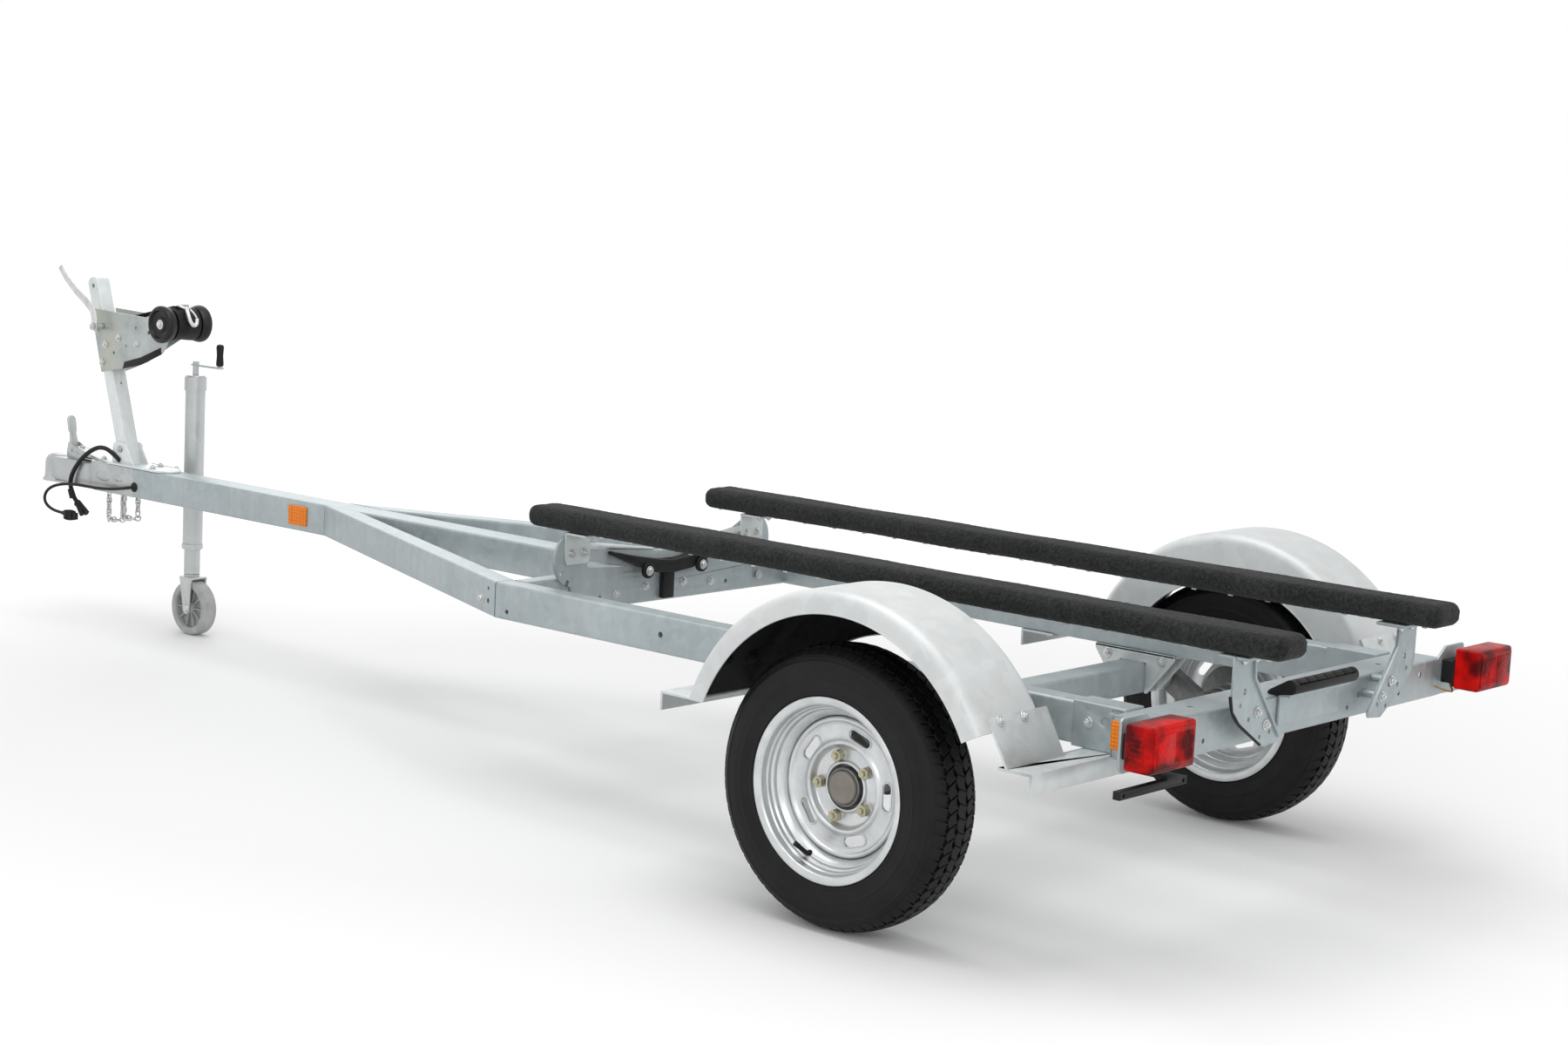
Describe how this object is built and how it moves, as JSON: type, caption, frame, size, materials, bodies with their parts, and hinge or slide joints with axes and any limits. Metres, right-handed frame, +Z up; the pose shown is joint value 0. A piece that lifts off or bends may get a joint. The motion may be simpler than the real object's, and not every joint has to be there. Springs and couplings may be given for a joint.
{
  "type": "single-axle bunk boat trailer",
  "caption": "Galvanised single-axle boat trailer with carpeted bunks, fenders, winch stand, bow roller, ball coupler and a swivel jack that it stands on.",
  "frame": {"origin": "centre of the whole trailer's length and width, on the ground", "axes": "+X forward to the coupler, +Y to the trailer's left side, +Z up"},
  "size_m": [4.015, 1.476, 0.957],
  "materials": {
    "galvanised": "spangled galvanised, satin",
    "fender_zinc": "pale galvanised sheet, satin",
    "post_zinc": "pale galvanised, satin",
    "bright_zinc": "zinc plated, satin to bright",
    "rim_zinc": "bright galvanised, satin",
    "hub_steel": "zinc plated steel, satin",
    "tyre_rubber": "matt black",
    "carpeted_board": "board wrapped in charcoal looped carpet",
    "black_rubber": "matt black",
    "grey_plastic": "pale grey moulded plastic",
    "black_webbing": "woven black webbing",
    "lamp_red": "deep red lens, glossy",
    "lamp_black": "matt black",
    "amber_lens": "amber prismatic lens",
    "cable_black": "matt black jacket"
  },
  "bodies": {
    "frame": {"tongue": "galvanised", "left_rail": "galvanised", "right_rail": "galvanised", "left_drawbar": "galvanised", "right_drawbar": "galvanised", "rail_sleeves": "galvanised", "rear_cross_member": "galvanised", "front_cross_member": "galvanised", "front_bolster": "galvanised", "axle_tube": "galvanised", "axle_brackets": "galvanised", "coupler": "galvanised", "front_bunk_brackets": "galvanised", "rear_bunk_brackets": "galvanised", "front_fender_brackets": "galvanised", "rear_fender_brackets": "galvanised", "left_fender": "fender_zinc", "right_fender": "fender_zinc", "winch_post": "post_zinc", "winch_post_base": "post_zinc", "winch_bracket": "bright_zinc", "strap_hook": "bright_zinc", "safety_chains": "bright_zinc", "coupler_latch": "bright_zinc", "jack_bracket": "bright_zinc", "left_torsion_arm": "hub_steel", "right_torsion_arm": "hub_steel", "left_bunk": "carpeted_board", "right_bunk": "carpeted_board", "front_keel_pad": "black_rubber", "rear_keel_pad": "black_rubber", "winch_strap": "black_webbing", "winch_drum": "black_webbing", "left_tail_light": "lamp_red", "right_tail_light": "lamp_red", "tail_light_housings": "lamp_black", "plate_holder": "lamp_black", "side_reflectors": "amber_lens", "wiring_cable": "cable_black", "wiring_plug": "cable_black"},
    "left_wheel": {"left_hub": "hub_steel", "left_rim": "rim_zinc", "left_tyre": "tyre_rubber"},
    "right_wheel": {"right_hub": "hub_steel", "right_rim": "rim_zinc", "right_tyre": "tyre_rubber"},
    "bow_roller": {"bow_roller": "black_rubber"},
    "winch_handle": {"winch_handle": "bright_zinc"},
    "jack_tube": {"jack_tube": "bright_zinc", "jack_crank": "bright_zinc"},
    "jack_leg": {"jack_leg": "bright_zinc"},
    "jack_caster": {"jack_caster": "bright_zinc"},
    "jack_wheel": {"jack_wheel": "grey_plastic"}
  },
  "joints": [
    {"name": "left_wheel_spin", "type": "hinge", "parent": "frame", "child": "left_wheel", "pos_m": [-1.3355, 0.644, 0.258], "axis": [0, 1, 0], "continuous": true},
    {"name": "right_wheel_spin", "type": "hinge", "parent": "frame", "child": "right_wheel", "pos_m": [-1.3355, -0.644, 0.258], "axis": [0, 1, 0], "continuous": true},
    {"name": "bow_roller_spin", "type": "hinge", "parent": "frame", "child": "bow_roller", "pos_m": [1.44911, 0, 0.83642], "axis": [0, 1, 0], "continuous": true},
    {"name": "winch_handle_turn", "type": "hinge", "parent": "frame", "child": "winch_handle", "pos_m": [1.72511, 0, 0.80842], "axis": [0, 1, 0], "continuous": true},
    {"name": "jack_swing", "type": "hinge", "parent": "frame", "child": "jack_tube", "pos_m": [1.5645, -0.14, 0.41], "axis": [0, -1, 0], "range_deg": [0, 90]},
    {"name": "jack_extend", "type": "slide", "parent": "jack_tube", "child": "jack_leg", "axis": [0, 0, -1], "range_m": [-0.06, 0.19]},
    {"name": "jack_swivel", "type": "hinge", "parent": "jack_leg", "child": "jack_caster", "pos_m": [1.5645, -0.14, 0.161], "axis": [0, 0, 1], "continuous": true},
    {"name": "jack_wheel_spin", "type": "hinge", "parent": "jack_caster", "child": "jack_wheel", "pos_m": [1.5525, -0.14, 0.072], "axis": [0, 1, 0], "continuous": true}
  ]
}
